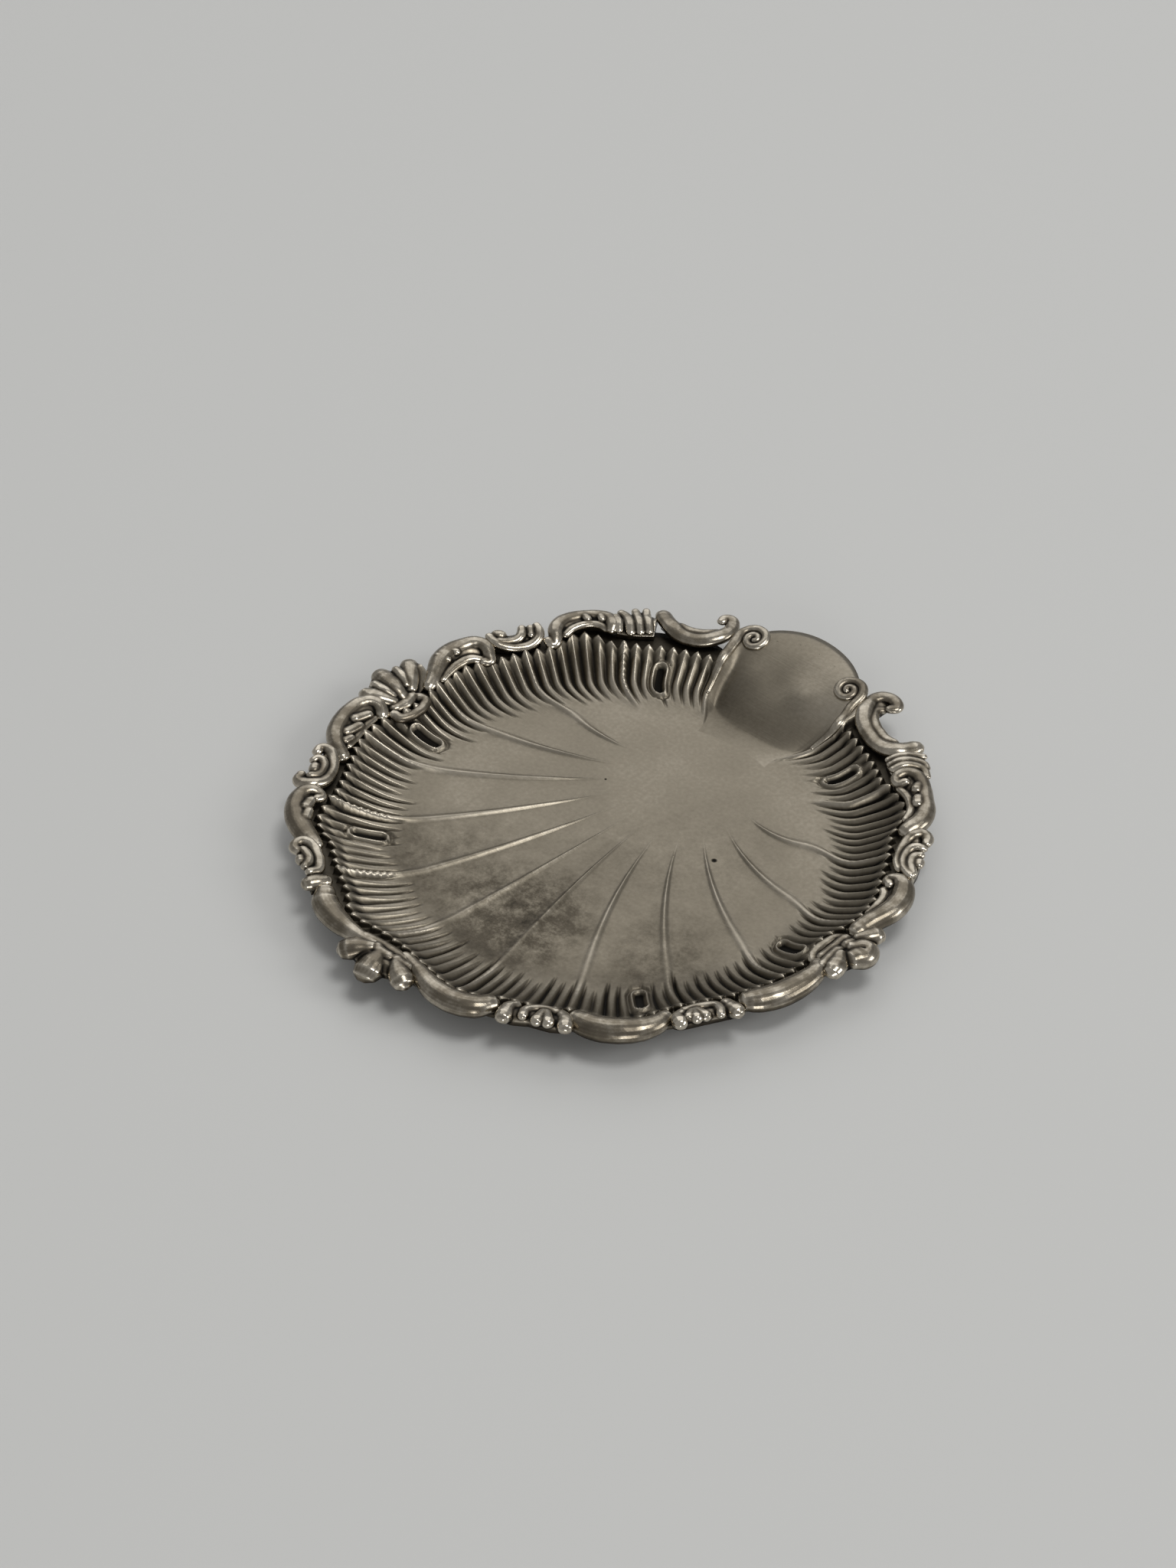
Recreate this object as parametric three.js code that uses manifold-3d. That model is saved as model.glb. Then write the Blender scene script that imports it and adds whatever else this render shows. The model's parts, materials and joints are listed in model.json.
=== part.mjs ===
// A shallow round serving dish shaped like a scallop shell, with a plain thumb tab at the back.
// A thin sheet body carries the fluted well, and a ring of cast scrolls, waves and shells is
// soldered onto its flange. The tab points to +Y, the dish stands on z = 0, centred on the axis.
import * as THREE from 'three';
import { mergeVertices } from 'three/addons/utils/BufferGeometryUtils.js';
import Module from 'manifold-3d';

const wasm = await Module();
wasm.setup();

// Driving dimensions of the sheet body, in millimetres and degrees
const sheetThickness = 1.5;
const floorRadius = 63;
const fluteRunIn = 9;
const fluteFootRise = 1.4;
const edgeRadius = 89;
const edgeHeight = 9.8;
const fluteDepth = 1.5;
const panelCount = 15;
const flutesPerPanel = 8;
const ribRise = 0.5;
const lipWidth = 1.8;
const seatHeight = 8.6;
const flangeWidth = 11;

// Driving dimensions of the ribs that cross the floor
const ribWidth = 1.8;
const ribHeight = 0.6;
const ribSink = 0.4;
const ribBow = 3;
const ribLean = 11;
const plainRadius = 32;
const plainOffset = 38;

// Driving dimensions of the thumb tab
const tabHalfAngle = 17.2;
const tabLength = 27;
const tabTipHeight = 15;
const tabCreaseOffset = 8;
const tabHollow = 1.4;
const tabColumns = 12;
const tabStations = [0, 0.4, 0.72, 1];

// Driving dimensions of the applied scrolls at the tab
const voluteAngle = 11.6;
const voluteOffset = 13.5;
const voluteRadius = 4.4;
const voluteEyeRadius = 1.1;
const voluteTurns = 1.4;
const voluteBand = 1.9;
const voluteTail = 9;
const voluteTailShare = 0.3;

// Driving dimensions of the cast border
const seatGap = 0.3;
const castingGap = 0.4;
const channelWidth = 2.6;
const borderWidth = 9.5;
const leftOutset = 3;
const castingEdge = 1;
const borderRise = 4.2;
const scrollArch = 4;
const shellDip = 2.5;
const shellLobes = 3;
const castingColumns = 12;
const castingRows = 5;

// How far each kind of casting reaches past the plain width of the border
const scrollReach = 2;
const tallScrollReach = 6;
const leafReach = 4;
const collarReach = 8.5;
const waveReach = 2.2;
const shellReach = 7;
const hookReach = 11;

const flangeRadius = edgeRadius + flangeWidth;
const tabTipRadius = edgeRadius + tabLength;
const creaseRadius = floorRadius + tabCreaseOffset;
const panelAngle = (360 - 2 * tabHalfAngle) / panelCount;

const silver = { metalness: 0.95 };
const wellSilver = new THREE.MeshStandardMaterial({ ...silver, color: 0x9a8f82, roughness: 0.42 });
const borderSilver = new THREE.MeshStandardMaterial({ ...silver, color: 0xaaa094, roughness: 0.3 });
const scrollSilver = new THREE.MeshStandardMaterial({ ...silver, color: 0xa39888, roughness: 0.32 });

// Angles are in degrees from the tab's middle, clockwise as seen from above
const polar = (radius, degrees, height) => {
  const angle = THREE.MathUtils.degToRad(degrees);
  return new THREE.Vector3(radius * Math.sin(angle), radius * Math.cos(angle), height);
};
const swell = (share) => Math.sin(Math.PI * share);
const peak = (share, middle, width) => Math.exp(-(((share - middle) / width) ** 2));

// The kinds of casting: the lift of the inner edge, the reach of the outer edge and the relief
const kinds = {
  openScroll: {
    arch: () => 0,
    reach: (u) => hookReach * peak(u, 0.06, 0.16) + collarReach * peak(u, 1, 0.16),
    relief: (u, v) => swell(v) ** 0.6,
  },
  collar: {
    arch: () => 0,
    reach: (u) => collarReach + (tallScrollReach - collarReach) * u,
    relief: (u, v) => swell(v) ** 0.6 * (0.8 + 0.2 * Math.cos(6 * Math.PI * u)),
  },
  tallScroll: {
    arch: (u) => scrollArch * swell(u),
    reach: (u) => tallScrollReach * (1 - u ** 3),
    relief: (u, v) => swell(v) ** 0.6 * (0.75 + 0.25 * swell(u)),
  },
  leafScroll: {
    arch: (u) => scrollArch * swell(u),
    reach: (u) => leafReach * swell(u),
    relief: (u, v) => swell(v) ** 0.6 * (0.75 + 0.25 * swell(u)),
  },
  scroll: {
    arch: (u) => scrollArch * swell(u),
    reach: (u) => scrollReach * swell(u),
    relief: (u, v) => swell(v) ** 0.6 * (0.75 + 0.25 * swell(u)),
  },
  wave: {
    arch: () => 0,
    reach: (u) => waveReach * swell(2 * u) ** 2,
    relief: (u, v) => swell(v) ** 0.6 * (0.7 + 0.3 * swell(2 * u) ** 2),
  },
  shell: {
    arch: (u) => -shellDip * swell(u),
    reach: (u) => shellReach * swell(u) ** 0.4 * (0.7 + 0.3 * Math.abs(swell(shellLobes * u))),
    relief: (u, v) => swell(v) ** 0.5 * (0.7 + 0.3 * Math.abs(swell(shellLobes * u))),
  },
};

// The castings of one side from the tab to the far end, with the arc of the right and left copies
const sideCastings = [
  { name: 'open_scroll', kind: kinds.openScroll, right: 14.3, left: 15.8 },
  { name: 'fan_collar', kind: kinds.collar, right: 5, left: 7.5 },
  { name: 'first_scroll', kind: kinds.tallScroll, right: 18, left: 15 },
  { name: 'first_wave', kind: kinds.wave, right: 13, left: 11.5 },
  { name: 'second_scroll', kind: kinds.leafScroll, right: 14.5, left: 15 },
  { name: 'side_shell', kind: kinds.shell, right: 16, left: 15.5 },
  { name: 'third_scroll', kind: kinds.scroll, right: 16.5, left: 14.5 },
  { name: 'second_wave', kind: kinds.wave, right: 14, left: 12 },
  { name: 'fourth_scroll', kind: kinds.scroll, right: 17, left: 16 },
  { name: 'third_wave', kind: kinds.wave, right: 15, left: 14 },
  { name: 'fifth_scroll', kind: kinds.scroll, right: 18, left: 13 },
];
const endShell = { name: 'end_shell', kind: kinds.shell, arc: 14.5 };

// The ring of castings, clockwise from the tab, with the arcs fitted to close it
function borderLayout() {
  const right = sideCastings.map((c) => ({ ...c, name: `right_${c.name}`, arc: c.right, side: 1 }));
  const left = sideCastings.map((c) => ({ ...c, name: `left_${c.name}`, arc: c.left, side: -1 }));
  const ring = [...right, { ...endShell, side: 1 }, ...left.reverse()];
  const total = ring.reduce((sum, casting) => sum + casting.arc, 0);
  const fit = (360 - 2 * tabHalfAngle) / total;
  let start = tabHalfAngle;
  for (const casting of ring) {
    casting.start = start;
    casting.span = casting.arc * fit;
    start += casting.span;
  }
  return ring;
}
const border = borderLayout();

// How far the casting at an angle lifts the inner edge of the border and the fluted edge with it
function edgeLift(degrees) {
  const at = border.find((casting) => degrees <= casting.start + casting.span) ?? border.at(-1);
  const share = THREE.MathUtils.clamp((degrees - at.start) / at.span, 0, 1);
  return at.kind.arch(at.side > 0 ? share : 1 - share);
}

// Flutes lean toward the plain area near the tab as they run onto the floor
function floorAngle(degrees) {
  const signed = degrees > 180 ? degrees - 360 : degrees;
  const half = Math.cos(THREE.MathUtils.degToRad(signed) / 2);
  const lean = Math.sign(signed) * ribLean * half ** 2;
  return degrees - lean * Math.min(1, Math.abs(signed) / tabHalfAngle);
}

// One column of the fluted wall, from the floor out to the flange
function wallColumn(degrees, wave) {
  const edge = edgeRadius + edgeLift(degrees);
  return [
    polar(floorRadius, floorAngle(degrees), sheetThickness),
    polar(floorRadius + fluteRunIn, degrees, sheetThickness + fluteFootRise + wave / 2),
    polar(edge, degrees, edgeHeight + wave),
    polar(edge + lipWidth, degrees, seatHeight),
    polar(flangeRadius, degrees, seatHeight),
  ];
}

// Top of the tab: a hollow that rises from the crease to the tip
function tabHeight(radius) {
  const share = Math.max(0, (radius - creaseRadius) / (tabTipRadius - creaseRadius));
  return sheetThickness + (tabTipHeight - sheetThickness) * share ** tabHollow;
}

// One column of the tab, from the floor out to its domed outline
function tabColumn(degrees) {
  const outline = flangeRadius + (tabTipRadius - flangeRadius) * (1 - (degrees / tabHalfAngle) ** 2) ** 0.7;
  const radii = tabStations.map((share) => THREE.MathUtils.lerp(creaseRadius, outline, share));
  const column = radii.map((radius) => polar(radius, degrees, tabHeight(radius)));
  return [polar(floorRadius, floorAngle(degrees), sheetThickness), ...column];
}

// All columns once round the dish: ridges and valleys in turn, with a rib between panels
function sheetColumns() {
  const columns = [];
  const ridgesPerPanel = 2 * flutesPerPanel;
  const wallSteps = panelCount * ridgesPerPanel;
  for (let step = 0; step <= wallSteps; step += 1) {
    const rib = step % ridgesPerPanel === 0 ? ribRise : 0;
    const wave = step % 2 === 0 ? fluteDepth / 2 + rib : -fluteDepth / 2;
    columns.push(wallColumn(tabHalfAngle + (step * panelAngle) / ridgesPerPanel, wave));
  }
  for (let step = 1; step < tabColumns; step += 1) {
    columns.push(tabColumn(tabHalfAngle * (-1 + (2 * step) / tabColumns)));
  }
  return columns;
}

// A closed sheet through the columns, its two skins shifted up and down by the given amounts
function sheetGeometry(columns, topShift, bottomShift) {
  const rings = columns[0].length;
  const positions = [];
  const indices = [];
  const skins = [topShift, bottomShift].map((shift) => {
    const first = positions.length / 3;
    positions.push(0, 0, sheetThickness + shift);
    columns.forEach((column) => column.forEach((p) => positions.push(p.x, p.y, p.z + shift)));
    return (column, ring) => first + 1 + (column % columns.length) * rings + ring;
  });
  const [top, bottom] = skins;
  const topCentre = 0;
  const bottomCentre = 1 + columns.length * rings;
  for (let c = 0; c < columns.length; c += 1) {
    indices.push(topCentre, top(c + 1, 0), top(c, 0));
    indices.push(bottomCentre, bottom(c, 0), bottom(c + 1, 0));
    for (let r = 0; r < rings - 1; r += 1) {
      indices.push(top(c, r), top(c + 1, r), top(c + 1, r + 1), top(c, r), top(c + 1, r + 1), top(c, r + 1));
      indices.push(bottom(c, r), bottom(c + 1, r + 1), bottom(c + 1, r));
      indices.push(bottom(c, r), bottom(c, r + 1), bottom(c + 1, r + 1));
    }
    const last = rings - 1;
    indices.push(top(c, last), top(c + 1, last), bottom(c + 1, last));
    indices.push(top(c, last), bottom(c + 1, last), bottom(c, last));
  }
  return indexedGeometry(positions, indices);
}

function indexedGeometry(positions, indices) {
  const geometry = new THREE.BufferGeometry();
  geometry.setAttribute('position', new THREE.Float32BufferAttribute(positions, 3));
  geometry.setIndex(indices);
  geometry.computeVertexNormals();
  return geometry;
}

function toSolid(geometry) {
  const bare = geometry.clone();
  bare.deleteAttribute('normal');
  bare.deleteAttribute('uv');
  const merged = mergeVertices(bare);
  const vertProperties = new Float32Array(merged.attributes.position.array);
  const triVerts = new Uint32Array(merged.index.array);
  return new wasm.Manifold(new wasm.Mesh({ numProp: 3, vertProperties, triVerts }));
}

function fromSolid(solid) {
  const mesh = solid.getMesh();
  return indexedGeometry(Array.from(mesh.vertProperties), Array.from(mesh.triVerts));
}

// A low ridge on the floor, from the foot of the wall toward the plain area
function ribGeometry(degrees, side) {
  const plainCentre = new THREE.Vector3(0, plainOffset, sheetThickness);
  const outer = polar(floorRadius + ribWidth, floorAngle(degrees), sheetThickness);
  const away = outer.clone().sub(plainCentre).normalize();
  const inner = plainCentre.clone().addScaledVector(away, plainRadius);
  const sideways = new THREE.Vector3(away.y, -away.x, 0);
  const middle = outer.clone().add(inner).multiplyScalar(0.5).addScaledVector(sideways, side * ribBow);
  const section = new THREE.Shape();
  section.moveTo(ribSink, -ribWidth / 2);
  section.lineTo(ribSink, ribWidth / 2);
  section.lineTo(-ribHeight, 0);
  const extrudePath = new THREE.QuadraticBezierCurve3(inner, middle, outer);
  return new THREE.ExtrudeGeometry(section, { steps: 8, bevelEnabled: false, extrudePath });
}

// The body: the fluted sheet with the ribs that are long enough to reach onto the floor
function bodyGeometry(columns) {
  let body = toSolid(sheetGeometry(columns, 0, -sheetThickness));
  for (let panel = 2; panel < panelCount - 1; panel += 1) {
    const degrees = tabHalfAngle + panel * panelAngle;
    body = body.add(toSolid(ribGeometry(degrees, degrees < 180 ? 1 : -1)));
  }
  return fromSolid(body);
}

// A spiral in plan that rolls in from its tail, laid on the sheet below it
class VoluteCurve extends THREE.Curve {
  constructor(side, sheet) {
    super();
    this.side = side;
    this.sheet = sheet;
  }

  getPoint(t, target = new THREE.Vector3()) {
    const centre = polar(edgeRadius + voluteOffset, this.side * voluteAngle, 0);
    const turn = Math.max(0, (t - voluteTailShare) / (1 - voluteTailShare));
    const radius = THREE.MathUtils.lerp(voluteRadius, voluteEyeRadius, turn);
    const angle = -2 * Math.PI * voluteTurns * turn;
    const tail = voluteTail * Math.max(0, 1 - t / voluteTailShare);
    const x = centre.x + this.side * radius * Math.cos(angle);
    const y = centre.y - radius * Math.sin(angle) - tail;
    return target.set(x, y, heightAbove(this.sheet, x, y) + voluteBand / 2 + seatGap);
  }
}

// Height of the upper skin of the sheet over a point of the plan
function heightAbove(sheet, x, y) {
  const above = new THREE.Vector3(x, y, tabTipHeight + seatHeight);
  const ray = new THREE.Raycaster(above, new THREE.Vector3(0, 0, -1));
  return ray.intersectObject(sheet)[0].point.z;
}

// An applied scroll at one side of the tab, bedded on the sheet with a thin gap for the solder
function voluteGeometry(side, columns) {
  const sheet = new THREE.Mesh(sheetGeometry(columns, 0, -sheetThickness));
  const section = new THREE.Shape().absarc(0, 0, voluteBand / 2, 0, 2 * Math.PI);
  const extrudePath = new VoluteCurve(side, sheet);
  const options = { steps: 36, curveSegments: 4, bevelEnabled: false, extrudePath };
  const band = toSolid(new THREE.ExtrudeGeometry(section, options));
  const bed = toSolid(sheetGeometry(columns, seatGap, -sheetThickness));
  return fromSolid(band.subtract(bed));
}

// One casting of the border about the middle of its arc, on a flat seat above the flange;
// the left ones sit a little further out
function castingGeometry({ kind, side, span }) {
  const inset = THREE.MathUtils.radToDeg(castingGap / 2 / edgeRadius);
  const seatRadius = edgeRadius + channelWidth + (side > 0 ? 0 : leftOutset);
  const bottomHeight = seatHeight + seatGap;
  const topHeight = (u, v) => bottomHeight + castingEdge + borderRise * kind.relief(u, v);
  const positions = [];
  const indices = [];
  const point = (u, v, height) => {
    const inner = seatRadius + kind.arch(u);
    const outer = seatRadius + borderWidth + kind.reach(u);
    const degrees = side * (u - 0.5) * (span - 2 * inset);
    positions.push(...polar(THREE.MathUtils.lerp(inner, outer, v), degrees, height));
    return positions.length / 3 - 1;
  };
  const face = (a, b, c) => indices.push(...(side > 0 ? [a, b, c] : [a, c, b]));
  const quad = (a, b, c, d) => {
    face(a, b, c);
    face(a, c, d);
  };
  const top = [];
  const bottom = [];
  for (let i = 0; i <= castingColumns; i += 1) {
    const u = i / castingColumns;
    const rows = Array.from({ length: castingRows + 1 }, (_, j) => j / castingRows);
    top.push(rows.map((v) => point(u, v, topHeight(u, v))));
    bottom.push([point(u, 0, bottomHeight), point(u, 1, bottomHeight)]);
  }
  for (let i = 0; i < castingColumns; i += 1) {
    for (let j = 0; j < castingRows; j += 1) {
      quad(top[i][j], top[i + 1][j], top[i + 1][j + 1], top[i][j + 1]);
    }
    quad(bottom[i][0], bottom[i][1], bottom[i + 1][1], bottom[i + 1][0]);
    quad(bottom[i][0], bottom[i + 1][0], top[i + 1][0], top[i][0]);
    quad(bottom[i + 1][1], bottom[i][1], top[i][castingRows], top[i + 1][castingRows]);
  }
  const endWall = (i, turn) => {
    const loop = [bottom[i][1], ...[...top[i]].reverse()];
    for (let j = 0; j < loop.length - 1; j += 1) {
      face(bottom[i][0], ...(turn ? [loop[j + 1], loop[j]] : [loop[j], loop[j + 1]]));
    }
  };
  endWall(0, true);
  endWall(castingColumns, false);
  return indexedGeometry(positions, indices);
}

function namedMesh(name, geometry, material) {
  const mesh = new THREE.Mesh(geometry, material);
  mesh.name = name;
  return mesh;
}

const dish = new THREE.Group();
dish.name = 'scallop_dish';

const columns = sheetColumns();
dish.add(namedMesh('dish_body', bodyGeometry(columns), wellSilver));

const tabScrolls = new THREE.Group();
tabScrolls.add(namedMesh('right_tab_scroll', voluteGeometry(1, columns), scrollSilver));
tabScrolls.add(namedMesh('left_tab_scroll', voluteGeometry(-1, columns), scrollSilver));
dish.add(tabScrolls);

const borderRing = new THREE.Group();
for (const casting of border) {
  const mesh = namedMesh(casting.name, castingGeometry(casting), borderSilver);
  mesh.rotation.z = -THREE.MathUtils.degToRad(casting.start + casting.span / 2);
  borderRing.add(mesh);
}
dish.add(borderRing);

export default dish;
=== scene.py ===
import json
import math

import bmesh
import bpy
import numpy as np
from mathutils import Matrix, Vector, noise

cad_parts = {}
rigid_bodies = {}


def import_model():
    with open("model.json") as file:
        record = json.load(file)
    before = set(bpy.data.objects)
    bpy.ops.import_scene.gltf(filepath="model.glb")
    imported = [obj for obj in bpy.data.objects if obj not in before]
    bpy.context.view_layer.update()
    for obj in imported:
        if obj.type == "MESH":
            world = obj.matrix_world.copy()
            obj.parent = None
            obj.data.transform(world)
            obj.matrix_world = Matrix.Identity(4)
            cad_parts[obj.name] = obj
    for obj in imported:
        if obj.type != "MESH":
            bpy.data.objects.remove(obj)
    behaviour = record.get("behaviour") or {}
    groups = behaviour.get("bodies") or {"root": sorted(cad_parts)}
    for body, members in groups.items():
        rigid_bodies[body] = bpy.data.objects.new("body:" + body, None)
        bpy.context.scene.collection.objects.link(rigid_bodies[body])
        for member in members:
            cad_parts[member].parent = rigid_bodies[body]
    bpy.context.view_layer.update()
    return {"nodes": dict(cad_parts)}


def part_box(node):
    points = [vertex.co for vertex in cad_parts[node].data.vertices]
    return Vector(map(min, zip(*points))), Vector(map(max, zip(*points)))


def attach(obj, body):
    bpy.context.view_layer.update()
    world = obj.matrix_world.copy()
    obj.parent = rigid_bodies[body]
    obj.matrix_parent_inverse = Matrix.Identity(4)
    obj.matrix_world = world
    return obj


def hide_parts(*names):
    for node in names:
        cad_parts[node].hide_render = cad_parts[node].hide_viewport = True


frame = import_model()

mm = 0.001  # shapes are worked in millimetres and scaled once at the end


def clamp(value):
    return max(0.0, min(1.0, value))


def mix(first, second, share):
    return first + (second - first) * share


def ease(low, high, value):
    share = clamp((value - low) / (high - low))
    return share * share * (3 - 2 * share)


def hump(offset, width):
    return math.exp(-((offset / width) ** 2))


def around(radius, degrees, height=0.0):
    # angles run clockwise from the middle of the tab
    turn = math.radians(degrees)
    return Vector((radius * math.sin(turn), radius * math.cos(turn), height))


def along(stations, value):
    # straight runs between (place, height) stations
    for (a, low), (b, high) in zip(stations, stations[1:]):
        if value <= b:
            return mix(low, high, clamp((value - a) / (b - a)))
    return stations[-1][1]


def newMesh(name, bm):
    mesh = bpy.data.meshes.new(name)
    bm.to_mesh(mesh)
    bm.free()
    return mesh


def newObject(name, data):
    item = bpy.data.objects.new(name, data)
    bpy.context.collection.objects.link(item)
    return item


def finalMesh(item):
    bpy.context.view_layer.update()
    evaluated = item.evaluated_get(bpy.context.evaluated_depsgraph_get())
    mesh = bpy.data.meshes.new_from_object(evaluated)
    oldData = item.data
    bpy.data.objects.remove(item)
    if isinstance(oldData, bpy.types.Mesh):
        bpy.data.meshes.remove(oldData)
    else:
        bpy.data.curves.remove(oldData)
    return mesh


def placePiece(name, mesh, material, node):
    mesh.transform(Matrix.Scale(mm, 4))
    mesh.name = name
    mesh.materials.clear()
    mesh.materials.append(material)
    mesh.shade_smooth()
    piece = newObject(name, mesh)
    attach(piece, "root")
    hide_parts(node)
    return piece


# this attribute drives the colour ramp: tarnish and wear, and on the dish body also painted highlights and
# painted shade
def writeTarnishAndPaintedLight(mesh, values):
    layer = mesh.attributes.new("tarnish", "FLOAT", "POINT")
    layer.data.foreach_set("value", np.asarray(values, np.float32))


def readVectors(mesh, kind):
    values = np.zeros(len(mesh.vertices) * 3, np.float32)
    mesh.vertices.foreach_get(kind, values)
    return values.reshape(-1, 3).astype(float)


# where the border castings sit, read from the frame
borderNames = [n for n in frame["nodes"] if n != "dish_body" and not n.endswith("tab_scroll")]


def castingArc(name):
    points = [v.co for v in frame["nodes"][name].data.vertices]
    middle = sum((p.copy() for p in points), Vector()) / len(points)
    heading = math.degrees(math.atan2(middle.x, middle.y))
    turns = [(math.degrees(math.atan2(p.x, p.y)) - heading + 180) % 360 - 180 for p in points]
    ends = (heading + min(turns), heading + max(turns))
    return ends[::-1] if name.startswith("left") else ends


def kindOf(name):
    return name.split("_", 1)[1] if name.startswith(("right", "left")) else name


arcs = {name: castingArc(name) for name in borderNames}
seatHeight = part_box("right_third_scroll")[0][2] / mm
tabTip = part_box("dish_body")[1][1] / mm

dishBody = {
    "sheet": 1.5, "floorRadius": 63, "wallCurve": 2.0, "edgeRadius": 91.8, "edgeDrift": 1.2,
    "wallRun": 28, "edgeHeight": 10.6, "flangeRadius": 99, "flangeHold": 5, "leftHold": 2.8,
    "flangeHeight": 8.6, "channelHeight": 8.2, "channelWidth": 2.4,
    "tabAngle": 17.2, "tabColumns": 40, "panels": 15, "flutes": 8, "fluteColumns": 10,
    "fluteDepth": 1.7, "fluteStart": 69.5, "fluteFull": 79, "fluteStray": 5, "tipReach": 2.4,
    "ribHeight": 0.5, "ribCrest": 0.55, "ribWidth": 1.6, "ribLean": 11, "leanFrom": 55,
    "ribBow": (3, 5.5),  # left, right
    "ropeRibs": (1, 5, 6), "ropeCrest": 0.95, "ropePitch": 2.2,  # left ribs with a twisted edge
    "ropeTwist": 0.34, "plainTwist": 0.05,
    "panelSag": 0.42, "straightFrom": 82, "plainRadius": 26, "plainOffset": 38,
    # how far the fluted edge arches out under each casting
    "arch": {"right_first_scroll": 5.5, "left_first_scroll": 7, "right_second_scroll": 1.2,
             "left_second_scroll": 2, "side_shell": -3.5, "right_third_scroll": 0.8,
             "left_third_scroll": 2, "right_fourth_scroll": 3, "left_fourth_scroll": 4.2,
             "fifth_scroll": 3, "end_shell": -1.6, "second_wave": -0.8},
    "creaseRadius": 70.5, "creaseRise": 12, "tabTipHeight": 14.8, "tabCurve": 1.15, "tabSkew": 2.2,
    "tabShoulder": 1.0, "tabTipMargin": 0.6, "strapTop": 13.4, "strapFrom": 0.78, "tabRim": 1.4,
    # soft swellings of the tab: x, y, reach and height
    "tabSwells": [(8, 91, 6, 0.8), (-4, 91, 6, -0.4), (-2, 100, 6, -0.3), (12, 105, 7, 0.25),
                  (-13, 89, 6, 0.5)],
    # panel from the tab, flute in it, inner and outer radius of each slot
    "slots": [(0, 4.7, 78, 85), (3, 4.6, 76.5, 83.5), (5, 2.7, 77, 85)],
}
# distances from a slot's middle line
slotLoop = {"clear": (3.6, 4.6), "ringAt": 2.4, "ringWidth": 0.7, "ringHeight": 1.6, "bed": -1.1,
            "pit": 0.3, "pitEdge": (0.8, 1.4), "darkEdge": (0.9, 1.6)}
# radii where the flutes and ribs change, and how
fluteShape = {"sharp": 4, "backWide": 1.3, "frontWide": 2.0, "frontRun": (20, 75), "widen": (71, 84),
              "toothed": (83, 91), "deepen": (78, 87), "depths": (0.9, 1.2), "edgeDepth": 0.35,
              "strayDepth": 0.3, "ropeStart": (73, 77), "ribStart": (65, 78), "ribRise": (63, 78)}
# frontFoot darkens where the front flutes meet the floor; right is painted shade on the right-hand flutes;
# rib and rim are wear plus painted highlights
wallPaintedLightAndTarnish = {"base": 0.2, "frontFoot": 0.12, "footAt": 69, "footReach": 6, "right": 0.1, "fluted": 0.1,
               "groove": 0.75, "rib": 0.14, "rim": 0.18, "slotBed": 0.42, "slotRing": 0.38, "slotPit": 0.55}
b = dishBody
columnsPerPanel = b["flutes"] * b["fluteColumns"]
columnCount = b["panels"] * columnsPerPanel + 2 * b["tabColumns"]
panelAngle = (360 - 2 * b["tabAngle"]) / b["panels"]
columnAngle = panelAngle / columnsPerPanel


def edgeLift(degrees):
    # the fluted edge follows the arches of the scrolls and dips at the shells
    for name, (start, end) in arcs.items():
        share = ((degrees - start + 180) % 360 - 180) / (end - start)
        if 0 <= share <= 1:
            arch = b["arch"].get(name, b["arch"].get(kindOf(name), 0))
            return arch * math.sin(math.pi * share) ** 1.3
    return 0.0


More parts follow.
